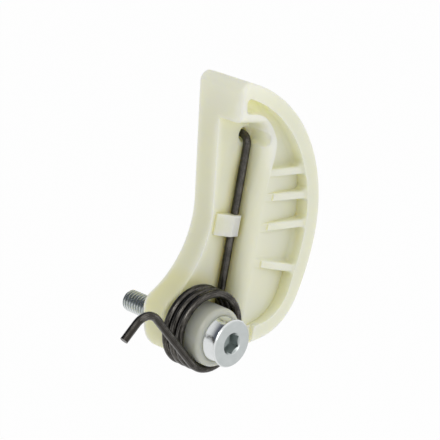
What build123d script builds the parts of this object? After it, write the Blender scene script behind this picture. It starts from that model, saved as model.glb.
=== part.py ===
# Oil pump chain tensioner: a moulded polyamide slide blade that swings on a shoulder bolt,
# loaded by a torsion spring. Millimetres, +Z up, -Y towards the bolt head.
# The origin lies on the pivot axis in the face of the engine block that the bolt seats on.
# Heights are measured from that face towards the head, so a height h is at Y = -h.

import os
from math import acos, atan2, cos, degrees, radians, sin

from build123d import *

# Clearances
bore_clearance = 0.05
axial_play = 0.2
wire_clearance = 0.2

# Shoulder bolt
journal_r = 5.0
shoulder_r = 5.6
shoulder_h = 19.1
head_r = 6.5
head_t = 0.6
head_h = 25.0
head_chamfer = 0.3
thread_r = 3.0
thread_len = 14.3
thread_lead_in = 0.6
journal_edge = 0.4
socket_af = 5.0
socket_depth = 3.5
socket_turn = 3.0

# Torsion spring
wire_r = 1.1
coil_x = 0.45
coil_z = 0.7
coil_r = 10.1
leg_h = 8.6
leg_lean = 13.9
leg_len = 50.6
leg_bend = 2.6
leg_tail_h = 3.5
lead_turns = 0.411
lead_rise = 1.57
coil_turns = 2.95
coil_pitch = 2.45
hook_len = 25.16
hook_bend = 5.0
hook_fold = 90.3
hook_tip = 10.5

# Blade
eye_r = 8.3
collar_r = 8.0
collar_h = 20.4
collar_edge = 1.4
cup_clearance = 0.15
cup_edge = 0.7
plate_h = 8.0
front_h = 16.05
crown_x = 0.97
crown_z = 26.5
crown_r = 41.5
crown_top = 73.0
crown_end = -16.7
flank_r = 63.4
flank_end = -31.8
neck_low = (-8.3, 7.6)
neck_low_r = 4.5
neck_high = (9.6, 15.6)
neck_high_r = 26.0
corner_r = 2.6
edge_r = 0.8
rim_edge_r = 1.0
back_edge_r = 0.4

# Groove for the spring leg
groove_side = 0.25
groove_end = 4.7
groove_corner_r = 4.0
groove_left = 3.6
groove_slope = 5.0
seat_r = 12.4
tail_hole_clearance = 0.5
tail_sink_r = 2.4

# Inner rim between the groove and the pockets
crest_w = 3.0
crest_h = 14.2
crest_low_t = 2.0
crest_high_t = 36.0
crest_fall = 10.0
crest_edge = 3.0
arch_r = 11.5
arch_w = 2.8

# Pockets, their floors and ribs
pocket_shift = (-1.3, 0.2)
rim_w = 3.6
toe_rim = 4.6
pocket_left = 14.3
floor_slope = 7.5
slot_h = 11.9
pocket_corner_r = 1.2
pocket_floor_r = 1.2
pocket_edge = 0.6
rib_edge_r = 0.7
mouth_edge_r = 0.8
rib_t = 2.2
rib_root_h = 14.2
rib_rise = 4.4
rib_x = 34.0
rib_marks = [(35.95, 9.5), (28.9, 11.0), (20.75, 10.0), (7.75, 21.3)]

# Clip that holds the leg down
clip_len = 5.8
clip_t = 26.4
clip_ramp = 3.6
clip_post = 0.15
clip_lip = 0.9
clip_over = 0.5
clip_edge = 0.3

os.makedirs("parts", exist_ok=True)

# Derived sizes
lean = radians(leg_lean)
across = Vector(cos(lean), 0, -sin(lean))
along = Vector(sin(lean), 0, cos(lean))
front = Vector(0, -1, 0)
coil_centre = Vector(coil_x, 0, coil_z)
floor_h = leg_h - wire_r - wire_clearance
back_h = axial_play / 2
cup_h = shoulder_h - axial_play / 2
bore_r = journal_r + bore_clearance
groove_s = coil_r + wire_r + groove_side
groove_t = leg_len + groove_end
crest_s = groove_s + crest_w

# Frames: seen from the front with s across the leg and t along it,
# in section across the leg, and in section along it
leg_frame = Plane(coil_centre, x_dir=across, z_dir=front)
cross_frame = Plane(coil_centre, x_dir=across, z_dir=-along)
side_frame = Plane(coil_centre, x_dir=along, z_dir=across)


def leg_point(s, t, height):
    """Point at s across the leg, t along it and a height."""
    return coil_centre + across * s + along * t + front * height


def sloping_plane(s, height, slope):
    """Plane through a line along the leg, falling away from it to the right by a slope."""
    tilt = radians(slope)
    return Plane(leg_point(s, 0, height), x_dir=along, z_dir=front * cos(tilt) + across * sin(tilt))


# Shoulder bolt, turned about the pivot axis, drawn with the radius to the right and height up
axis_frame = Plane((0, 0, 0), x_dir=(1, 0, 0), z_dir=(0, 0, -1))
head_low = head_h - head_t
with BuildPart() as shoulder_bolt:
    with BuildSketch(axis_frame):
        with BuildLine():
            Polyline(
                (0, -thread_len),
                (thread_r - thread_lead_in, -thread_len),
                (thread_r, -thread_len + thread_lead_in),
                (thread_r, 0),
                (journal_r - journal_edge, 0),
                (journal_r, journal_edge),
                (journal_r, shoulder_h),
                (shoulder_r, shoulder_h),
                (shoulder_r, head_low),
                (head_r, head_low),
                (head_r, head_h - head_chamfer),
                (head_r - head_chamfer, head_h),
                (0, head_h),
                close=True,
            )
        make_face()
    revolve(axis=Axis.Y)
    with BuildSketch(Plane.XZ.offset(head_h)):
        RegularPolygon(socket_af / 2, 6, major_radius=False, rotation=socket_turn)
    extrude(amount=-socket_depth, mode=Mode.SUBTRACT)
shoulder_bolt.part.label = "shoulder_bolt"
export_step(shoulder_bolt.part, "parts/shoulder_bolt.step")


# Blade outline: crown, flank and toe arcs run into each other, then the flat under the eye,
# the eye and the hollow neck up the left side
crown_mid = Vector(crown_x, crown_z)
flank_mid = crown_mid - Vector(cos(radians(crown_end)), sin(radians(crown_end))) * (flank_r - crown_r)
flank_dir = Vector(cos(radians(flank_end)), sin(radians(flank_end)))
toe_r = (flank_mid.Y + flank_r * flank_dir.Y + eye_r) / (1 + flank_dir.Y)
toe_mid = flank_mid + flank_dir * (flank_r - toe_r)
top_corner = crown_mid + Vector(cos(radians(crown_top)), sin(radians(crown_top))) * crown_r

with BuildSketch(Plane.XZ.offset(back_h)) as outline:
    with BuildLine():
        CenterArc(crown_mid, crown_r, crown_end, crown_top - crown_end)
        CenterArc(flank_mid, flank_r, flank_end, crown_end - flank_end)
        CenterArc(toe_mid, toe_r, -90, flank_end + 90)
        Line((toe_mid.X, -eye_r), (0, -eye_r))
        CenterArc((0, 0), eye_r, 180, 90)
        FilletPolyline(
            (-eye_r, 0),
            neck_low,
            neck_high,
            top_corner,
            radius=[neck_low_r, neck_high_r],
        )
    make_face()
    fillet(outline.vertices().sort_by_distance(top_corner)[0], corner_r)

# The low area: everything left of the groove's flank and below its end, and the seat of the coil
with BuildSketch(leg_frame) as low_area:
    with Locations((groove_s, 0)):
        Rectangle(2 * groove_t, groove_t, align=(Align.MAX, Align.MIN))
    fillet(low_area.vertices().group_by(Axis.Y)[-1].sort_by(Axis.X)[-1], groove_corner_r)
    Circle(seat_r)

# The groove's floor lies lower beside the leg and slopes up to the plate on its left
with BuildPart() as groove:
    with BuildSketch(leg_frame.offset(floor_h)):
        add(low_area.sketch_local)
    extrude(amount=plate_h - floor_h)
    split(bisect_by=sloping_plane(groove_left, floor_h, groove_slope), keep=Keep.TOP)

# Front of the inner rim, lowest beside the leg and rising into the block and the toe
with BuildPart() as crest:
    with BuildSketch(side_frame.offset(-seat_r)) as crest_profile:
        Polygon(
            (crest_low_t - crest_fall, front_h),
            (crest_low_t, crest_h),
            (crest_high_t, crest_h),
            (groove_t, front_h),
            align=None,
        )
    extrude(amount=seat_r + crest_s + crest_w)

# Pocket field between the inner rim and the outer rim
leg_place = Location((coil_x, coil_z, 0), (0, 0, -leg_lean))
pocket_mid = crown_mid + Vector(*pocket_shift)
pocket_r = crown_r - rim_w
toe_pocket_r = toe_r - toe_rim
reach = toe_mid - pocket_mid
pocket_turn = degrees(atan2(reach.Y, reach.X) + acos((pocket_r - toe_pocket_r) / reach.length))
pocket_top = degrees(acos((pocket_left - pocket_mid.X) / pocket_r))
turn_dir = Vector(cos(radians(pocket_turn)), sin(radians(pocket_turn)))
top_dir = Vector(cos(radians(pocket_top)), sin(radians(pocket_top)))
toe_floor = toe_mid - Vector(0, toe_pocket_r)

with BuildSketch() as inner_rim:
    with Locations((crest_s, 0)):
        Rectangle(2 * groove_t, groove_t + arch_w, align=(Align.MAX, Align.MIN))
    fillet(inner_rim.vertices().group_by(Axis.Y)[-1].sort_by(Axis.X)[-1], arch_r)
    Circle(crest_s)

with BuildSketch() as pocket_field:
    with BuildLine():
        CenterArc(pocket_mid, pocket_r, pocket_turn, pocket_top - pocket_turn)
        Line(pocket_mid + turn_dir * pocket_r, toe_mid + turn_dir * toe_pocket_r)
        CenterArc(toe_mid, toe_pocket_r, -90, pocket_turn + 90)
        Polyline(toe_floor, (pocket_left, toe_floor.Y), pocket_mid + top_dir * pocket_r)
    make_face()
    with Locations(leg_place):
        add(inner_rim.sketch, mode=Mode.SUBTRACT)
    fillet(pocket_field.vertices().group_by(Axis.X)[0].sort_by(Axis.Y)[-2:], pocket_corner_r)


def on_height(edge, height, slack=0.01):
    """True for an edge that lies across the front at a height."""
    return abs((edge @ 0.5).Y + height) < slack and abs((edge % 0.5).Y) < slack


def corners(cutter, height, least_turn=20):
    """Upright edges of a cutter that reach below a height, where its sides turn by a least angle."""
    found = []
    for edge in cutter.edges().filter_by(Axis.Y):
        sides = [face for face in cutter.faces() if any(edge.is_same(side) for side in face.edges())]
        turn = sides[0].normal_at(edge @ 0.5).get_angle(sides[1].normal_at(edge @ 0.5))
        if edge.bounding_box().max.Y > -height and turn > least_turn:
            found.append(edge)
    return found


rib_places = [Location((rib_x, z, 0), (0, 0, -tilt)) for z, tilt in rib_marks]
with BuildPart() as ribs:
    with BuildSketch(Plane.XZ):
        with Locations(*rib_places):
            Rectangle(2 * rib_x, rib_t)
    extrude(amount=front_h)
    split(bisect_by=sloping_plane(groove_s, rib_root_h, -rib_rise), keep=Keep.BOTTOM)
    tops = [edge for edge in ribs.edges() if edge.length > rib_x and (edge @ 0.5).Y < -plate_h]
    fillet(tops, rib_edge_r)

with BuildPart() as pockets:
    with BuildSketch(Plane.XZ.offset(plate_h)):
        add(pocket_field.sketch)
    extrude(amount=front_h - plate_h)
    split(bisect_by=sloping_plane(crest_s, crest_h, floor_slope), keep=Keep.TOP)
    add(ribs.part, mode=Mode.SUBTRACT)
    fillet(corners(pockets, crest_h - pocket_edge), pocket_corner_r)
    floor = pockets.faces().sort_by(Axis.Y)[-1]
    fillet([edge for edge in floor.edges() if (edge @ 0.5).Y > pocket_edge - crest_h], pocket_floor_r)

# The slot above the top rib has a flat floor
with BuildPart() as slot:
    with BuildSketch(Plane.XZ.offset(slot_h)):
        add(pocket_field.sketch)
        with Locations(rib_places[0]):
            with Locations((0, rib_t / 2)):
                Rectangle(4 * rib_x, 4 * rib_x, align=(Align.CENTER, Align.MAX), mode=Mode.SUBTRACT)
    extrude(amount=front_h - slot_h)
    fillet(corners(slot, crest_h), pocket_corner_r)
    fillet(slot.faces().sort_by(Axis.Y)[-1].edges(), pocket_floor_r)

# Rounding of the pockets' mouth
with BuildPart() as mouth:
    with BuildSketch(Plane.XZ.offset(front_h - 2 * mouth_edge_r)):
        add(pocket_field.sketch)
    extrude(amount=2 * mouth_edge_r)
    with BuildSketch(Plane.XZ.offset(front_h)):
        Circle(2 * flank_r)
    extrude(amount=mouth_edge_r)
    rims = [edge for edge in mouth.edges() if on_height(edge, front_h) and edge.length < flank_r]
    fillet(rims, mouth_edge_r)

# Clip over the leg: a ramp up from the plate, a post beside the wire and a lip over it
lip_h = leg_h + wire_r + clip_post
post_s = coil_r - wire_r - clip_post
with BuildPart() as clip:
    with BuildSketch(cross_frame.offset(-clip_t)):
        Polygon(
            (post_s - clip_ramp - clip_lip, floor_h - clip_lip),
            (post_s - clip_ramp - clip_lip, plate_h),
            (post_s - clip_lip, lip_h + clip_lip),
            (coil_r + clip_over, lip_h + clip_lip),
            (coil_r + clip_over, lip_h),
            (post_s, lip_h),
            (post_s, floor_h - clip_lip),
            align=None,
        )
    extrude(amount=clip_len / 2, both=True)
    fillet(clip.faces().sort_by(Axis.Y)[0].edges(), clip_edge)

tail_place = Plane(leg_point(coil_r, leg_len, floor_h), x_dir=across, z_dir=front)


def on_rim(edge, sketch, low, high, slack=0.01, steepest=0.3):
    """True for an edge from a low height to under a high one, that runs along a sketch's outline."""
    spot = edge @ 0.5
    beside = sketch.wire().distance_to(Vector(spot.X, 0, spot.Z)) < slack
    return low - slack < -spot.Y < high - slack and abs((edge % 0.5).Y) < steepest and beside


with BuildPart() as plate:
    extrude(outline.sketch, amount=plate_h - back_h)
    fillet(plate.faces().sort_by(Axis.Y)[0].edges(), edge_r)
    fillet(plate.faces().sort_by(Axis.Y)[-1].edges(), back_edge_r)

low_rim = low_area.sketch
outer_rim = outline.sketch.moved(Location((0, back_h, 0)))
with BuildPart() as blade:
    extrude(outline.sketch, amount=front_h - back_h)
    fillet(blade.faces().sort_by(Axis.Y)[-1].edges(), back_edge_r)
    with BuildSketch(leg_frame.offset(plate_h / 2)):
        add(low_area.sketch_local)
    extrude(amount=front_h, mode=Mode.SUBTRACT)
    add(crest.part, mode=Mode.SUBTRACT)
    fillet([edge for edge in blade.edges() if on_rim(edge, low_rim, crest_h, front_h)], crest_edge)
    fillet([edge for edge in blade.edges() if on_rim(edge, outer_rim, front_h, collar_h)], rim_edge_r)
    add(plate.part)
    add(groove.part, mode=Mode.SUBTRACT)
    add(mouth.part, mode=Mode.SUBTRACT)
    add(pockets.part, mode=Mode.SUBTRACT)
    add(slot.part, mode=Mode.SUBTRACT)
    add(clip.part)
    with BuildSketch(Plane.XZ.offset(back_h)):
        Circle(collar_r)
    extrude(amount=collar_h - back_h)
    fillet(blade.faces().sort_by(Axis.Y)[0].edges(), collar_edge)
    with BuildSketch(Plane.XZ.offset(back_h)):
        Circle(bore_r)
    extrude(amount=collar_h, mode=Mode.SUBTRACT)
    with BuildSketch(Plane.XZ.offset(cup_h)):
        Circle(shoulder_r + cup_clearance)
    extrude(amount=collar_h, mode=Mode.SUBTRACT)
    chamfer(blade.faces().sort_by(Axis.Y)[0].edges().sort_by(SortBy.RADIUS)[0], cup_edge)
    with Locations(tail_place):
        CounterSinkHole(wire_r + tail_hole_clearance, tail_sink_r, depth=floor_h)
blade.part.label = "blade"
export_step(blade.part, "parts/blade.step")


# Torsion spring: one wire, from the tail in the blade through the leg and the coil to the hook
turn_start = -leg_lean
lead_end = turn_start - 360 * lead_turns
coil_end = lead_end - 360 * coil_turns
lead_h = leg_h + lead_rise
turns_rise = coil_turns * coil_pitch
hook_h = lead_h + turns_rise


def coil_frame(angle, height):
    """Plane on the coil's axis at a height, with its x towards an angle seen from the front."""
    return Plane(
        (coil_x, -height, coil_z),
        x_dir=(cos(radians(angle)), 0, sin(radians(angle))),
        z_dir=front,
    )


lead_place = coil_frame(turn_start, leg_h)
turns_place = coil_frame(lead_end, lead_h)
hook_place = coil_frame(coil_end, hook_h)
lead_path = lead_place.location * Edge.make_helix(lead_rise / lead_turns, lead_rise, coil_r, lefthand=True)
turns_path = turns_place.location * Edge.make_helix(coil_pitch, turns_rise, coil_r, lefthand=True)

with BuildLine(lead_place) as leg_path:
    FilletPolyline(
        (coil_r, leg_len, leg_tail_h - leg_h),
        (coil_r, leg_len, 0),
        (coil_r, 0, 0),
        radius=leg_bend,
    )
with BuildLine(hook_place) as hook_path:
    FilletPolyline(
        (coil_r, 0, 0),
        (coil_r, -hook_len, 0),
        (coil_r + hook_tip * sin(radians(hook_fold)), -hook_len - hook_tip * cos(radians(hook_fold)), 0),
        radius=hook_bend,
    )
with BuildLine() as wire_path:
    add(leg_path.line)
    add(lead_path)
    add(turns_path)
    add(hook_path.line)
wire_line = wire_path.wires()[0]
with BuildPart() as torsion_spring:
    with BuildSketch(Plane(wire_line @ 0, z_dir=wire_line % 0)):
        Circle(wire_r)
    sweep(path=wire_line)
torsion_spring.part.label = "torsion_spring"
export_step(torsion_spring.part, "parts/torsion_spring.step")
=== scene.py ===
"""Oil pump chain tensioner: the finished look of the moulded blade, its spring and its shoulder bolt.

Lengths are metres in the solids' own frame. The origin lies on the pivot axis in the face that the bolt
seats on, the bolt's head points along -Y and +Z is up. A height is measured from that face towards the
head, so a height h is at Y = -h.
"""

from math import cos, degrees, pi, radians, sin, tan, tau

import bpy
from bpy.props import FloatProperty, FloatVectorProperty, PointerProperty
from mathutils import Matrix, Vector


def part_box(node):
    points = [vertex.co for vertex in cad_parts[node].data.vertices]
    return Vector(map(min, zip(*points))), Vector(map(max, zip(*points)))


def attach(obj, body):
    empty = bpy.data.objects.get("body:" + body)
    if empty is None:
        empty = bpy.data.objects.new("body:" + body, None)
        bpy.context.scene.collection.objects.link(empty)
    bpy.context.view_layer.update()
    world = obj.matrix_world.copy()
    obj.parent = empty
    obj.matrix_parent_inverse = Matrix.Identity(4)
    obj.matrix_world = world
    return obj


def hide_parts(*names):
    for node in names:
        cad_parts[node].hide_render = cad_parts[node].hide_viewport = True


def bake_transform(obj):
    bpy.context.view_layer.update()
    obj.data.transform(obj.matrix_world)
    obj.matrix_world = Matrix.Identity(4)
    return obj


bl_info = {
    "name": "Chain tensioner finish",
    "version": (1, 0, 0),
    "blender": (4, 5, 0),
    "location": "3D View > Sidebar > Tensioner",
    "description": "Finishes the blade, models the bolt and the spring, and sets up the studio",
    "category": "Object",
}

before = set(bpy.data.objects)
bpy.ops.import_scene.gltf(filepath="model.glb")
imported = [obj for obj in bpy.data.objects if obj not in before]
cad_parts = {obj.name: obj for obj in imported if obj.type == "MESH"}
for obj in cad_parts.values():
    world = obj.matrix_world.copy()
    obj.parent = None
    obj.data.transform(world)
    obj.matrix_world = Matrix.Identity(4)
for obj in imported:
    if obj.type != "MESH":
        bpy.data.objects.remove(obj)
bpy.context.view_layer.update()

mm = 0.001
bolt_low, bolt_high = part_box("shoulder_bolt")


def length(name, description, default):
    """A length property in metres."""
    return FloatProperty(name=name, description=description, default=default, unit="LENGTH", precision=5)


def colour(name, description, default):
    """A linear colour property."""
    return FloatVectorProperty(
        name=name, description=description, default=default, subtype="COLOR", size=3, min=0, max=1
    )


def factor(name, description, default):
    """A share from 0 to 1."""
    return FloatProperty(name=name, description=description, default=default, subtype="FACTOR", min=0, max=1)


class BladeFinish(bpy.types.PropertyGroup):
    """Colours and surface of the moulded blade"""

    ivory: colour("Ivory", "Natural polyamide on the open faces", (0.78, 0.78, 0.62))
    # The pale tone is painted light: paler on edges and thin walls, and paler on the upper block.
    pale: colour("Pale", "Lighter tone where an edge or a thin wall lets light through", (0.9, 0.9, 0.79))
    # Painted shade: the collar inside the coil is painted greyer and darker.
    painted_shade: colour("Collar", "Greyer tone of the collar inside the coil", (0.51, 0.52, 0.45))
    # The amber tone is painted shade in closed corners and recesses, and beside the spring.
    corner_shade: colour("Amber", "Deeper tone where the moulding is closed in", (0.78, 0.75, 0.4))
    # Painted light: the closed corners near the top are painted lighter.
    top_corner_light: colour("Honey", "Lighter amber for the closed corners near the top", (0.97, 0.96, 0.72))
    # Painted shade: greyer towards the crown's rim and at the toe.
    rim_and_toe_shade: colour("Frost", "Greyer tone towards the crown's rim", (0.72, 0.73, 0.62))
    roughness: factor("Roughness", "Sheen of the moulded skin", 0.4)
    grain: length("Grain", "Size of the mould's fine texture", 0.0005)
    # The deeper tone in closed corners is painted shade.
    closed: length("Corner reach", "How far from a closed corner the deeper tone reaches", 0.007)
    # The lighter tone at edges is painted light.
    thin: length("Edge reach", "How far from an edge the lighter tone reaches", 0.004)
    glow: factor("Translucency", "Light that spreads inside the plastic", 0.8)


class BoltShape(bpy.types.PropertyGroup):
    """Sizes and plating of the shoulder bolt"""

    journal: length("Journal radius", "Radius that the blade turns on", 5.0 * mm)
    shoulder: length("Shoulder radius", "Radius of the polished step under the head", 5.6 * mm)
    shoulder_at: length("Shoulder height", "Height of the step above the seat", 19.1 * mm)
    head: length("Head radius", "Radius of the head's rim", bolt_high.x)
    head_at: length("Head height", "Height of the head's face above the seat", -bolt_low.y)
    rim: length("Rim width", "Width of the head's rim along the axis", 0.6 * mm)
    bevel: length("Head bevel", "Width of the bright bevel round the face", 0.4 * mm)
    mouth: length("Mouth radius", "Radius of the socket's bevelled mouth", 3.1 * mm)
    skirt: length("Skirt radius", "Radius of the flare that lies in the collar's mouth", 6.3 * mm)
    skirt_at: length("Skirt height", "Height of the flare's edge", 20.25 * mm)
    socket: length("Socket width", "Width across the socket's flats", 5.0 * mm)
    socket_depth: length("Socket depth", "Depth of the socket's flats", 3.5 * mm)
    socket_turn: FloatProperty(
        name="Socket turn", description="Turn of the socket about the axis",
        default=radians(3), subtype="ANGLE",
    )
    thread: length("Thread radius", "Outer radius of the thread", 3.0 * mm)
    thread_length: length("Thread length", "Length from the seat to the tip", bolt_high.y)
    pitch: length("Thread pitch", "Rise of one turn of the thread", 1.0 * mm)
    zinc: colour("Zinc", "Bright plated steel", (0.72, 0.74, 0.74))
    # Painted shade in the socket and between the threads, a painted dark reflection on the head's face, and
    # random blots.
    shade_and_blot_zinc: colour("Shade", "Duller plating in the socket and between the threads", (0.33, 0.37, 0.36))
    roughness: factor("Roughness", "Polish of the plating", 0.16)


class SpringShape(bpy.types.PropertyGroup):
    """Sizes and surface of the torsion spring"""

    wire: length("Wire radius", "Radius of the spring wire", 1.1 * mm)
    coil: length("Coil radius", "Radius of the wire's middle in the coil", 10.1 * mm)
    coil_x: length("Coil X", "Coil axis to the right of the pivot", 0.45 * mm)
    coil_z: length("Coil Z", "Coil axis above the pivot", 0.7 * mm)
    leg_at: length("Leg height", "Height of the leg above the seat", 8.6 * mm)
    leg: length("Leg length", "Length of the leg from the coil to its bend", 50.6 * mm)
    leg_bend: length("Leg bend", "Radius of the bend into the blade", 2.6 * mm)
    tail_at: length("Tail height", "Height of the wire's end in the blade", 3.5 * mm)
    lean: FloatProperty(
        name="Leg lean", description="Lean of the leg", default=radians(13.9), subtype="ANGLE"
    )
    lead_turns: FloatProperty(
        name="Lead turns", description="Part turn from the leg to the coil", default=0.411
    )
    lead_rise: length("Lead rise", "Rise of the lead turn", 1.57 * mm)
    turns: FloatProperty(name="Coil turns", description="Turns of the coil", default=2.95)
    pitch: length("Coil pitch", "Rise of one turn of the coil", 2.45 * mm)
    hook: length("Hook length", "Length of the arm from the coil to its fold", 25.16 * mm)
    hook_bend: length("Hook bend", "Radius of the fold", 5.0 * mm)
    hook_fold: FloatProperty(
        name="Hook fold", description="Turn at the fold", default=radians(90.3), subtype="ANGLE"
    )
    hook_tip: length("Hook tip", "Length from the fold to the wire's end", 10.5 * mm)
    steel: colour("Steel", "Oiled spring steel", (0.038, 0.035, 0.031))
    streak: colour("Streak", "Brighter lines left by the drawing die", (0.18, 0.17, 0.155))
    roughness: factor("Roughness", "Sheen of the drawn wire", 0.27)


class StudioSettings(bpy.types.PropertyGroup):
    """Camera, floor and soft lamps"""

    aim: FloatVectorProperty(
        name="Aim", description="Point that the camera looks at",
        default=(6.45 * mm, -14.0 * mm, 29.66 * mm), subtype="TRANSLATION", size=3, precision=5,
    )
    direction: FloatVectorProperty(
        name="Direction", description="From the aim towards the camera",
        default=(-0.6517, -0.6539, 0.3843), subtype="DIRECTION", size=3,
    )
    distance: length("Distance", "From the aim to the camera", 0.6)
    lens: FloatProperty(name="Lens", description="Focal length in millimetres", default=189.65)
    floor_at: length("Floor height", "Height of the floor", -0.1)
    key: FloatProperty(name="Key", description="Power of the soft lamp", default=0.95, unit="POWER")
    fill: FloatProperty(name="Fill", description="Power of the second lamp", default=0.3, unit="POWER")
    glint: FloatProperty(
        name="Glint", description="Power of the small lamp that only reflections show",
        default=1.8, unit="POWER",
    )
    ambient: FloatProperty(name="Ambient", description="Strength of the room's light", default=0.81)
    flag: colour("Flag", "Dark card behind the object that only polished metal shows", (0.1, 0.11, 0.14))


class Signal:
    """A socket whose operators add Math nodes, so that shader maths reads as Python."""

    def __init__(self, finish, socket):
        self.finish = finish
        self.socket = socket

    def maths(self, operation, *values):
        """The result of one Math node on these values."""
        return self.finish.node("ShaderNodeMath", {"operation": operation}, dict(enumerate(values)))

    def __add__(self, other):
        return self.maths("ADD", self, other)

    def __mul__(self, other):
        return self.maths("MULTIPLY", self, other)

    def __sub__(self, other):
        return self.maths("SUBTRACT", self, other)

    def __rsub__(self, other):
        return self.maths("SUBTRACT", other, self)

    def __pow__(self, other):
        return self.maths("POWER", self, other)

    def root(self):
        """Square root."""
        return self.maths("SQRT", self)

    def least(self, other):
        """The smaller of two values."""
        return self.maths("MINIMUM", self, other)

    def most(self, other):
        """The larger of two values."""
        return self.maths("MAXIMUM", self, other)

    def step(self, low, high):
        """0 at low, 1 at high and smooth between them."""
        return self.finish.node(
            "ShaderNodeMapRange",
            {"interpolation_type": "SMOOTHSTEP"},
            {"Value": self, "From Min": low, "From Max": high},
        )


class Finish:
    """The nodes of one material, world or lamp, added as they are asked for."""

    def __init__(self, owner):
        owner.use_nodes = True
        self.owner = owner
        self.tree = owner.node_tree
        self.tree.nodes.clear()

    def node(self, kind, settings=None, sockets=None, out=0):
        """One output of a new node, with its settings first and then its sockets' values or links."""
        made = self.tree.nodes.new(kind)
        for name, value in (settings or {}).items():
            setattr(made, name, value)
        for name, value in (sockets or {}).items():
            if isinstance(value, Signal):
                self.tree.links.new(value.socket, made.inputs[name])
            elif hasattr(value, "__len__") and len(value) == 3 and len(made.inputs[name].default_value) == 4:
                made.inputs[name].default_value = (*value, 1)
            else:
                made.inputs[name].default_value = value
        return Signal(self, made.outputs[out]) if made.outputs else None

    def place(self):
        """X, Y and Z of the surface in the solids' frame."""
        where = self.node("ShaderNodeTexCoord", out="Object")
        return where, *(self.node("ShaderNodeSeparateXYZ", sockets={0: where}, out=axis) for axis in range(3))

    def noise(self, where, scale, detail=3.0, stretch=(1, 1, 1)):
        """Soft noise from 0 to 1 with about this many blots in a metre."""
        spot = self.node("ShaderNodeMapping", sockets={"Vector": where, "Scale": stretch})
        return self.node("ShaderNodeTexNoise", sockets={"Vector": spot, "Scale": scale, "Detail": detail})

    def sky(self, reach, inside=False):
        """1 where nothing is near the surface and 0 in a closed corner, or at an edge from the inside."""
        return self.node(
            "ShaderNodeAmbientOcclusion", {"samples": 12, "inside": inside, "only_local": True},
            {"Distance": reach}, out="AO",
        )

    def mix(self, amount, first, second):
        """A colour between two."""
        return self.node(
            "ShaderNodeMix", {"data_type": "RGBA"}, {0: amount, 6: first, 7: second}, out=2
        )

    def bump(self, height, depth, over=None):
        """A normal raised by a height from 0 to 1, times a depth in metres."""
        sockets = {"Height": height, "Distance": depth, "Strength": 1.0}
        if over is not None:
            sockets["Normal"] = over
        return self.node("ShaderNodeBump", sockets=sockets)

    def skin(self, **sockets):
        """The surface shader, on the output."""
        names = {name.replace("_", " "): value for name, value in sockets.items()}
        shader = self.node("ShaderNodeBsdfPrincipled", sockets=names)
        self.node("ShaderNodeOutputMaterial", sockets={"Surface": shader})


def new_finish(name):
    """An empty material to build up."""
    return Finish(bpy.data.materials.new(name))


def select_only(*pieces):
    """Select these objects alone, the first one active."""
    if bpy.context.mode != "OBJECT":
        bpy.ops.object.mode_set(mode="OBJECT")
    bpy.ops.object.select_all(action="DESELECT")
    for piece in pieces:
        piece.select_set(True)
    bpy.context.view_layer.objects.active = pieces[0]


def settle(piece):
    """Put a piece's place, turn and size into its mesh."""
    select_only(piece)
    bpy.ops.object.transform_apply(location=True, rotation=True, scale=True)


def turned(name, radius, height, steps, sides=96, turn=0.0):
    """A turned solid on the pivot axis: a disc, drawn along the axis through steps of (height, radius)."""
    bpy.ops.object.select_all(action="DESELECT")
    bpy.ops.mesh.primitive_circle_add(
        vertices=sides, radius=radius, fill_type="NGON", location=(0, -height, 0), rotation=(pi / 2, 0, 0)
    )
    piece = bpy.context.object
    piece.name = name
    settle(piece)
    bpy.ops.object.mode_set(mode="EDIT")
    bpy.ops.mesh.select_all(action="SELECT")
    if turn:
        bpy.ops.transform.rotate(value=-turn, orient_axis="Y", center_override=(0, -height, 0))
    for next_height, next_radius in steps:
        bpy.ops.mesh.extrude_region_move(TRANSFORM_OT_translate={"value": (0, height - next_height, 0)})
        share = next_radius / radius
        bpy.ops.transform.resize(value=(share, 1, share), center_override=(0, -next_height, 0))
        height, radius = next_height, next_radius
    bpy.ops.mesh.select_all(action="SELECT")
    bpy.ops.mesh.normals_make_consistent(inside=False)
    bpy.ops.object.mode_set(mode="OBJECT")
    return piece


def apply(piece, kind, **settings):
    """Add one modifier with these settings and apply it."""
    select_only(piece)
    modifier = piece.modifiers.new(kind.title(), kind)
    for name, value in settings.items():
        setattr(modifier, name, value)
    bpy.ops.object.modifier_apply(modifier=modifier.name)


def carve(piece, tool, operation):
    """Cut a piece with a tool, or keep what both share, and drop the tool."""
    apply(piece, "BOOLEAN", operation=operation, object=tool, solver="EXACT")
    bpy.data.objects.remove(tool)


def soften(piece, width, angle=25, segments=3):
    """Round the sharp edges of a piece and shade it smooth."""
    apply(
        piece, "BEVEL", width=width, segments=segments, limit_method="ANGLE", angle_limit=radians(angle),
        use_clamp_overlap=True, harden_normals=False,
    )
    select_only(piece)
    bpy.ops.object.shade_smooth_by_angle(angle=radians(40))


def shown_rays(finish):
    """1 on rays from the camera, in a reflection or through glass, and 1 on reflections alone."""
    camera, shiny, through = (
        finish.node("ShaderNodeLightPath", out=name)
        for name in ("Is Camera Ray", "Is Glossy Ray", "Is Transmission Ray")
    )
    return camera.most(shiny).most(through), shiny


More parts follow.
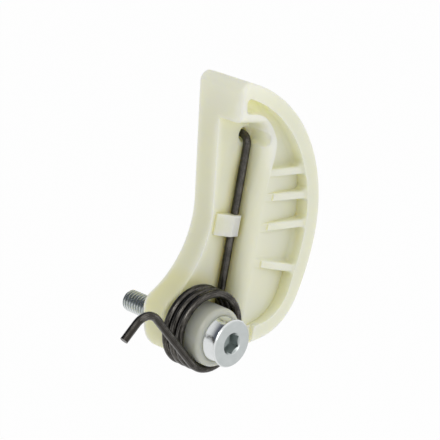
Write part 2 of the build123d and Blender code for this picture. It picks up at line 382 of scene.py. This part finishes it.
class TENSIONER_OT_blade(bpy.types.Operator):
    """Give the blade its moulded polyamide"""

    bl_idname = "tensioner.blade"
    bl_label = "Finish the blade"
    bl_options = {"REGISTER", "UNDO"}

    def execute(self, context):
        look = context.scene.tensioner_blade
        ivory = new_finish("natural polyamide")
        where, x, y, z = ivory.place()
        height = y * -1
        cloud_count, flow_count, swell_count = 60.0, 220.0, 120.0
        clouds = ivory.noise(where, cloud_count, 2.0)
        flow = ivory.noise(where, flow_count, 3.0, (1.0, 0.3, 1.0))
        # Painted shade: the more closed in the surface, the deeper the amber tone.
        deep = 1 - ivory.sky(look.closed)
        # Painted light: edges and thin walls, found from the inside, are painted paler.
        edge = 1 - ivory.sky(look.thin, True)
        corner_gain, corner_start, cloud_share, flow_share = 1.7, 0.2, 0.3, 0.12
        drift = (clouds - 0.5) * cloud_share + (flow - 0.5) * flow_share
        # Painted shade beside the spring's leg and round its coil.
        wire_shaded = self.wire_shade(context.scene.tensioner_spring, x, z, height)
        # Painted shade from the corners and beside the spring, plus random clouding of the tone.
        shade_and_clouds = ((deep * corner_gain - corner_start).most(wire_shaded) + drift).most(0.0).least(1.0)
        top_share, outer_share = 0.6, 0.6
        edge_from, edge_to, block_from, block_to = 0.15, 0.8, 48 * mm, 66 * mm
        # Painted light: paler on edges and thin walls, and towards the top of the block.
        bright = edge.step(edge_from, edge_to).most(z.step(block_from, block_to) * top_share)
        shade = ivory.mix(bright, tuple(look.ivory), tuple(look.pale))
        # Painted shade in the closed corners, painted lighter near the top.
        top_corner_from, top_corner_to = 36 * mm, 46 * mm
        closed = ivory.mix(z.step(top_corner_from, top_corner_to), tuple(look.corner_shade), tuple(look.top_corner_light))
        shade = ivory.mix(shade_and_clouds, shade, closed)
        # Painted shade: greyer towards the crown's rim and at the toe.
        toe_top, toe_foot, toe_from, toe_to = 10 * mm, -4 * mm, 8 * mm, 12 * mm
        rim_from, rim_to = 18 * mm, 33 * mm
        toe = z.step(toe_top, toe_foot) * x.step(toe_from, toe_to)
        outer = x.step(rim_from, rim_to).most(toe)
        shade = ivory.mix(outer * outer_share, shade, tuple(look.rim_and_toe_shade))
        # Painted shade on the collar inside the coil.
        collar_out, collar_in, collar_foot, collar_full = 9.6 * mm, 9.1 * mm, 8 * mm, 10 * mm
        collar = (x * x + z * z).root().step(collar_out, collar_in) * height.step(collar_foot, collar_full)
        shade = ivory.mix(collar, shade, tuple(look.painted_shade))
        grain_depth, swell_depth, cloud_sheen = 0.004 * mm, 0.05 * mm, 0.1
        normal = ivory.bump(ivory.noise(where, 1 / look.grain, 2.0), grain_depth)
        normal = ivory.bump(ivory.noise(where, swell_count, 1.0), swell_depth, normal)
        ivory.skin(
            Base_Color=shade,
            Roughness=(clouds - 0.5) * cloud_sheen + look.roughness,
            Normal=normal,
            Subsurface_Weight=look.glow,
            Subsurface_Radius=(1.0, 0.95, 0.6),
            Subsurface_Scale=6 * mm,
            IOR=1.5,
        )
        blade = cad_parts["blade"]
        blade.data.materials.clear()
        blade.data.materials.append(ivory.owner)
        return {"FINISHED"}

    def wire_shade(self, wire, x, z, height):
        """Painted shade beside the spring's leg and round its coil, from 0 to 1."""
        right, up = x - wire.coil_x, z - wire.coil_z
        aside = right * cos(wire.lean) - up * sin(wire.lean) - wire.coil
        along = right * sin(wire.lean) + up * cos(wire.lean)
        from_coil = (right ** 2 + up ** 2).root()
        shade_top, shade_full, back_full = 12 * mm, 9 * mm, 2 * mm
        past_end, near_end, before_foot, past_foot = 4 * mm, mm, -4 * mm, 2 * mm
        wire_out, wire_in, coil_out, coil_in = 4.2 * mm, 0.8 * mm, 15 * mm, 11 * mm
        wire_share, coil_share = 0.95, 0.6
        low = height.step(shade_top, shade_full)
        beside = along.step(wire.leg + past_end, wire.leg + near_end) * along.step(before_foot, past_foot)
        under_wire = (aside * aside).root().step(wire_out, wire_in) * low * beside
        under_coil = from_coil.step(coil_out, coil_in) * low
        return (under_wire * wire_share).most(under_coil * coil_share) * height.step(0, back_full)


class TENSIONER_OT_bolt(bpy.types.Operator):
    """Model the shoulder bolt with its socket and its thread"""

    bl_idname = "tensioner.bolt"
    bl_label = "Model the shoulder bolt"
    bl_options = {"REGISTER", "UNDO"}

    def execute(self, context):
        shape = context.scene.tensioner_bolt
        low_rim = shape.head_at - shape.rim
        lip, skirt_slope = 0.15 * mm, 0.5 * mm
        flare_count, flare_length, flare_curve = 8, 3.2 * mm, 1.6
        flare = [
            (
                shape.skirt_at + lip + flare_length * share,
                shape.shoulder + (shape.skirt - shape.shoulder) * (1 - share) ** flare_curve,
            )
            for share in (step / flare_count for step in range(1, flare_count + 1))
        ]
        body = turned(
            "shoulder_bolt_finish", shape.journal, 0,
            [
                (shape.shoulder_at, shape.journal),
                (shape.shoulder_at, shape.shoulder),
                (shape.skirt_at - skirt_slope, shape.shoulder),
                (shape.skirt_at, shape.skirt),
                (shape.skirt_at + lip, shape.skirt),
                *flare,
                (low_rim, shape.shoulder),
                (low_rim, shape.head),
                (shape.head_at - shape.bevel, shape.head),
                (shape.head_at, shape.head - shape.bevel),
            ],
        )
        edge_round = 0.08 * mm
        soften(body, edge_round)
        corner = shape.socket / 2 / cos(pi / 6)
        floor_at = shape.head_at - shape.socket_depth
        socket = turned(
            "socket_tool", corner, floor_at, [(shape.head_at + mm, corner)], sides=6,
            turn=shape.socket_turn,
        )
        carve(body, socket, "DIFFERENCE")
        drill_tip, drill_point, drill_over = 0.1 * mm, 1.1 * mm, 0.3 * mm
        drill_radius = shape.socket / 2 - 0.2 * mm
        drill = turned(
            "drill_tool", drill_tip, floor_at - drill_point,
            [(floor_at, drill_radius), (floor_at + drill_over, drill_radius)],
        )
        carve(body, drill, "DIFFERENCE")
        mouth_depth, mouth_over = 0.8 * mm, 0.2 * mm
        mouth = turned(
            "mouth_tool", shape.mouth - mouth_depth, shape.head_at - mouth_depth,
            [(shape.head_at + mouth_over, shape.mouth + mouth_over)],
        )
        carve(body, mouth, "DIFFERENCE")
        select_only(body)
        bpy.ops.object.shade_smooth_by_angle(angle=radians(35))
        thread = self.thread(shape)
        select_only(body, thread)
        bpy.ops.object.join()
        body.data.materials.clear()
        body.data.materials.append(self.plating(shape))
        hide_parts("shoulder_bolt")
        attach(body, "bolt")
        return {"FINISHED"}

    def thread(self, shape):
        """The thread: one ridge's outline, wound up the shank, cut off square and chamfered at the tip."""
        pitch, outer = shape.pitch, shape.thread
        depth, root, flank, crest = 0.6134 * pitch, pitch / 4, 0.3125 * pitch, pitch / 8
        bpy.ops.object.select_all(action="DESELECT")
        bpy.ops.mesh.primitive_plane_add(size=mm, location=(outer - depth, -2 * pitch, 0))
        thread = bpy.context.object
        thread.name = "thread"
        settle(thread)
        bpy.ops.object.mode_set(mode="EDIT")
        bpy.ops.mesh.select_all(action="SELECT")
        bpy.ops.mesh.merge(type="CENTER")
        bpy.ops.mesh.select_all(action="SELECT")
        for across, onward in [(0, root), (depth, flank), (0, crest), (-depth, flank)]:
            bpy.ops.mesh.extrude_region_move(TRANSFORM_OT_translate={"value": (across, onward, 0)})
        bpy.ops.object.mode_set(mode="OBJECT")
        spare_turns, sides, weld, seam, inset = 4, 48, 0.02 * mm, 0.01 * mm, 0.2 * mm
        apply(
            thread, "SCREW", axis="Y", screw_offset=pitch, steps=sides, render_steps=sides, angle=tau,
            iterations=int(shape.thread_length / pitch) + spare_turns,
            use_merge_vertices=True, merge_threshold=weld,
        )
        bpy.ops.object.mode_set(mode="EDIT")
        bpy.ops.mesh.select_all(action="SELECT")
        bpy.ops.mesh.remove_doubles(threshold=seam)
        for spot, facing in [(-inset, -1), (shape.thread_length, 1)]:
            bpy.ops.mesh.select_all(action="SELECT")
            bpy.ops.mesh.bisect(
                plane_co=(0, spot, 0), plane_no=(0, facing, 0), use_fill=True, clear_outer=True,
                threshold=0.001 * mm,
            )
        bpy.ops.mesh.select_all(action="SELECT")
        bpy.ops.mesh.normals_make_consistent(inside=False)
        bpy.ops.object.mode_set(mode="OBJECT")
        lead_in, lead_length, clear = 0.75 * mm, 0.65 * mm, outer + 0.01 * mm
        lead = turned(
            "lead_tool", outer - lead_in, -shape.thread_length,
            [(lead_length - shape.thread_length, clear), (mm, clear)],
        )
        carve(thread, lead, "INTERSECT")
        select_only(thread)
        bpy.ops.object.shade_smooth_by_angle(angle=radians(30))
        return thread

    def plating(self, shape):
        """Bright zinc: the lathe's rings on the head's face; painted shade in the socket and between the
        threads, a painted dark reflection on the face, and random duller blots.
        """
        zinc = new_finish("bright zinc")
        where, x, y, z = zinc.place()
        radius = (x * x + z * z).root()
        height = y * -1
        face_from, face_to, well_out, well_in = 0.2 * mm, 0.05 * mm, 0.62, 0.56
        face = height.step(shape.head_at - face_from, shape.head_at - face_to)
        rings = zinc.node(
            "ShaderNodeTexNoise", {"noise_dimensions": "1D"}, {"W": radius, "Scale": 5000.0, "Detail": 2.0}
        )
        blots = zinc.noise(where, 400.0, 3.0)
        turning = zinc.noise(where, 900.0, 2.0, (0.15, 3.0, 0.15))
        head_from, head_to = 20 * mm, 21 * mm
        in_head = height.step(head_from, head_to)
        well = radius.step(shape.socket * well_out, shape.socket * well_in) * (1 - face) * in_head
        root_depth, behind_seat = 0.45 * mm, -0.1 * mm
        root = radius.step(shape.thread, shape.thread - root_depth) * height.step(0.0, behind_seat)
        face_share, well_share, root_share, blot_share = 0.48, 0.8, 0.85, 0.35
        # Painted shade in the socket and between the threads and a painted dark reflection on the face.
        # Random blots are added next.
        painted_shade = face * face_share + well * well_share + root * root_share
        shade_and_blots = (painted_shade + (blots - 0.5) * blot_share).most(0.0).least(1.0)
        shade = zinc.mix(shade_and_blots, tuple(shape.zinc), tuple(shape.shade_and_blot_zinc))
        ring_depth, turning_share = 0.008 * mm, 0.25
        face_sheen, dull_sheen, turning_sheen = 0.16, 0.16, 0.1
        sheen = face * face_sheen + shade_and_blots * dull_sheen + (turning - 0.5) * turning_sheen
        zinc.skin(
            Base_Color=shade,
            Metallic=1.0,
            Roughness=sheen + shape.roughness,
            Normal=zinc.bump(rings * face + turning * turning_share, ring_depth),
        )
        return zinc.owner


class TENSIONER_OT_spring(bpy.types.Operator):
    """Wind the torsion spring from one wire"""

    bl_idname = "tensioner.spring"
    bl_label = "Wind the torsion spring"
    bl_options = {"REGISTER", "UNDO"}

    def execute(self, context):
        shape = context.scene.tensioner_spring
        curve = bpy.data.curves.new("torsion_spring_finish", "CURVE")
        curve.dimensions = "3D"
        curve.bevel_depth = shape.wire
        curve.bevel_resolution = 5
        curve.use_fill_caps = True
        points = self.line(shape)
        spline = curve.splines.new("POLY")
        spline.points.add(len(points) - 1)
        for spot, point in zip(spline.points, points):
            spot.co = (*point, 1)
        spring = bpy.data.objects.new("torsion_spring_finish", curve)
        context.scene.collection.objects.link(spring)
        select_only(spring)
        bpy.ops.object.convert(target="MESH")
        spring = context.object
        self.mark_streaks(spring, points)
        cut_round = 0.12 * mm
        soften(spring, cut_round, 60, 2)
        spring.data.materials.clear()
        spring.data.materials.append(self.wire_finish(shape))
        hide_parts("torsion_spring")
        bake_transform(spring)
        return {"FINISHED"}

    def line(self, shape):
        """Points along the middle of the wire, from its tail in the blade to the hook's end."""
        start, degrees_each = -shape.lean, 5
        lead_end = start - tau * shape.lead_turns
        coil_end = lead_end - tau * shape.turns
        lead_at = shape.leg_at + shape.lead_rise
        hook_at = lead_at + shape.turns * shape.pitch

        def spot(angle, out, on, height):
            """A point out from the coil's axis at an angle, then on along the turn's tangent."""
            x = shape.coil_x + cos(angle) * out - sin(angle) * on
            z = shape.coil_z + sin(angle) * out + cos(angle) * on
            return Vector((x, -height, z))

        def bend(before, corner, after, radius, count=8):
            """Points round a corner."""
            first, second = (before - corner).normalized(), (after - corner).normalized()
            half = first.angle(second) / 2
            middle = corner + (first + second).normalized() * radius / sin(half)
            arm = corner + first * radius / tan(half) - middle
            axle = second.cross(first)
            turn = pi - 2 * half
            return [middle + Matrix.Rotation(turn * step / count, 3, axle) @ arm for step in range(count + 1)]

        tail = spot(start, shape.coil, shape.leg, shape.tail_at)
        corner = spot(start, shape.coil, shape.leg, shape.leg_at)
        foot = spot(start, shape.coil, 0, shape.leg_at)
        arm = spot(coil_end, shape.coil, 0, hook_at)
        fold = spot(coil_end, shape.coil, -shape.hook, hook_at)
        tip = spot(
            coil_end, shape.coil + shape.hook_tip * sin(shape.hook_fold),
            -shape.hook - shape.hook_tip * cos(shape.hook_fold), hook_at,
        )
        points = [tail, *bend(tail, corner, foot, shape.leg_bend)]
        lead_count = round(degrees(start - lead_end) / degrees_each)
        for step in range(lead_count):
            share = step / lead_count
            angle = start + (lead_end - start) * share
            points.append(spot(angle, shape.coil, 0, shape.leg_at + shape.lead_rise * share))
        coil_count = round(degrees(lead_end - coil_end) / degrees_each)
        for step in range(coil_count + 1):
            share = step / coil_count
            angle = lead_end + (coil_end - lead_end) * share
            points.append(spot(angle, shape.coil, 0, lead_at + (hook_at - lead_at) * share))
        return [*points, *bend(arm, fold, tip, shape.hook_bend, 12), tip]

    def mark_streaks(self, spring, points):
        """Note how far round the wire and along it each vertex lies, for the drawn streaks."""
        rim, streak_length = len(spring.data.vertices) // len(points), 25 * mm
        lengths = [0.0]
        for before, after in zip(points, points[1:]):
            lengths.append(lengths[-1] + (after - before).length)
        drawn = spring.data.attributes.new("drawn", "FLOAT_VECTOR", "POINT")
        for index, item in enumerate(drawn.data):
            ring, spoke = divmod(index, rim)
            turn = tau * spoke / rim
            item.vector = (cos(turn), sin(turn), lengths[min(ring, len(points) - 1)] / streak_length)

    def wire_finish(self, shape):
        """Dark oiled wire with streaks from the drawing die."""
        steel = new_finish("oiled spring steel")
        where, *_ = steel.place()
        drawn = steel.node("ShaderNodeAttribute", {"attribute_name": "drawn"}, out="Vector")
        streaks = steel.noise(drawn, 7.0, 4.0)
        fine = steel.noise(drawn, 24.0, 2.0)
        blots = steel.noise(where, 350.0, 3.0)
        streak_share, fine_share, blot_share, bright_from, bright_to = 0.7, 0.45, 0.3, 0.52, 0.8
        drawn_marks = streaks * streak_share + fine * fine_share + (blots - 0.5) * blot_share
        bright = drawn_marks.step(bright_from, bright_to)
        shade = steel.mix(bright, tuple(shape.steel), tuple(shape.streak))
        streak_depth, fine_depth, uneven = 0.012 * mm, 0.4, 0.15
        steel.skin(
            Base_Color=shade,
            Metallic=1.0,
            Roughness=(blots - 0.5) * uneven + (fine - 0.5) * uneven + shape.roughness,
            Normal=steel.bump(streaks + fine * fine_depth, streak_depth),
        )
        return steel.owner


class TENSIONER_OT_studio(bpy.types.Operator):
    """Set up the camera, the pale floor and the soft lamps"""

    bl_idname = "tensioner.studio"
    bl_label = "Set up the studio"
    bl_options = {"REGISTER", "UNDO"}

    def execute(self, context):
        studio = context.scene.tensioner_studio
        aim, back = Vector(studio.aim), Vector(studio.direction).normalized()
        bpy.ops.object.camera_add(
            location=aim + back * studio.distance, rotation=back.to_track_quat("Z", "Y").to_euler()
        )
        camera = context.object
        camera.data.lens = studio.lens
        camera.data.sensor_width = 36
        camera.data.clip_end = 10
        context.scene.camera = camera
        self.floor(studio)
        self.lamp("key", studio.key, (-0.4, -0.8, 0.45), aim, size=0.5)
        self.lamp("fill", studio.fill, (0.45, -0.7, 0.35), aim, size=0.4)
        glint = self.lamp("glint", studio.glint, (-0.55, -0.45, 0.7), aim, size=0.12)
        glint.visible_diffuse = False
        world = bpy.data.worlds.new("room")
        context.scene.world = world
        room = Finish(world)
        seen, shiny = shown_rays(room)
        way = room.node("ShaderNodeTexCoord", out="Generated")
        side_way, back_way, up_way = (
            room.node("ShaderNodeSeparateXYZ", sockets={0: way}, out=axis) for axis in range(3)
        )
        card_side, card_middle, card_foot, card_full = 0.1, 0.5, -0.1, 0.3
        card = back_way.step(card_side, card_middle) * up_way.step(card_foot, card_full) * shiny
        sky = room.mix(card, (1.0, 1.0, 1.0), tuple(studio.flag))
        left, left_shade = side_way.step(-0.2, -0.8) * (1 - seen), 0.3
        strength = seen * (1 - studio.ambient) + studio.ambient - left * left_shade
        glow = room.node("ShaderNodeBackground", sockets={"Color": sky, "Strength": strength})
        room.node("ShaderNodeOutputWorld", sockets={"Surface": glow})
        context.scene.view_settings.view_transform = "Standard"
        return {"FINISHED"}

    def floor(self, studio):
        """A wide pale floor that shows white and keeps a soft shadow."""
        bpy.ops.object.select_all(action="DESELECT")
        bpy.ops.mesh.primitive_plane_add(size=8, location=(0, 0, studio.floor_at))
        floor = bpy.context.object
        floor.name = "floor"
        settle(floor)
        pale = new_finish("pale floor")
        seen, _ = shown_rays(pale)
        matt = pale.node("ShaderNodeBsdfDiffuse", sockets={"Color": (0.9, 0.9, 0.9)})
        glow = pale.node("ShaderNodeEmission", sockets={"Color": (1, 1, 1), "Strength": 1.0})
        unseen_glow, seen_extra = 0.55, 0.41
        share = seen * seen_extra + unseen_glow
        both = pale.node("ShaderNodeMixShader", sockets={0: share, 1: matt, 2: glow})
        pale.node("ShaderNodeOutputMaterial", sockets={"Surface": both})
        floor.data.materials.append(pale.owner)

    def lamp(self, name, power, place, aim, size):
        """A square soft lamp that faces the aim."""
        away, reach = Vector(place).normalized(), 0.9
        bpy.ops.object.light_add(
            type="AREA", location=aim + away * reach, rotation=away.to_track_quat("Z", "Y").to_euler()
        )
        lamp = bpy.context.object
        lamp.name = name
        lamp.data.shape = "SQUARE"
        lamp.data.size = size
        lamp.data.energy = power
        return lamp


class TENSIONER_PT_parts(bpy.types.Panel):
    """Steps that dress the tensioner, in order"""

    bl_idname = "TENSIONER_PT_parts"
    bl_label = "Chain tensioner"
    bl_space_type = "VIEW_3D"
    bl_region_type = "UI"
    bl_category = "Tensioner"

    def draw(self, context):
        for group, operator in zip(groups, steps):
            box = self.layout.box()
            box.operator(operator.bl_idname)
            settings = getattr(context.scene, group)
            for name in settings.__annotations__:
                box.prop(settings, name)


groups = {
    "tensioner_blade": BladeFinish,
    "tensioner_bolt": BoltShape,
    "tensioner_spring": SpringShape,
    "tensioner_studio": StudioSettings,
}
steps = [TENSIONER_OT_blade, TENSIONER_OT_bolt, TENSIONER_OT_spring, TENSIONER_OT_studio]
classes = [*groups.values(), *steps, TENSIONER_PT_parts]


def register():
    """Add the classes and their settings."""
    for item in classes:
        bpy.utils.register_class(item)
    for name, group in groups.items():
        setattr(bpy.types.Scene, name, PointerProperty(type=group))


def unregister():
    """Take the settings and the classes away again."""
    for name in groups:
        delattr(bpy.types.Scene, name)
    for item in reversed(classes):
        bpy.utils.unregister_class(item)


def main():
    """Dress the tensioner."""
    register()
    bpy.ops.tensioner.blade()
    bpy.ops.tensioner.bolt()
    bpy.ops.tensioner.spring()
    bpy.ops.tensioner.studio()


if __name__ == "__main__":
    main()
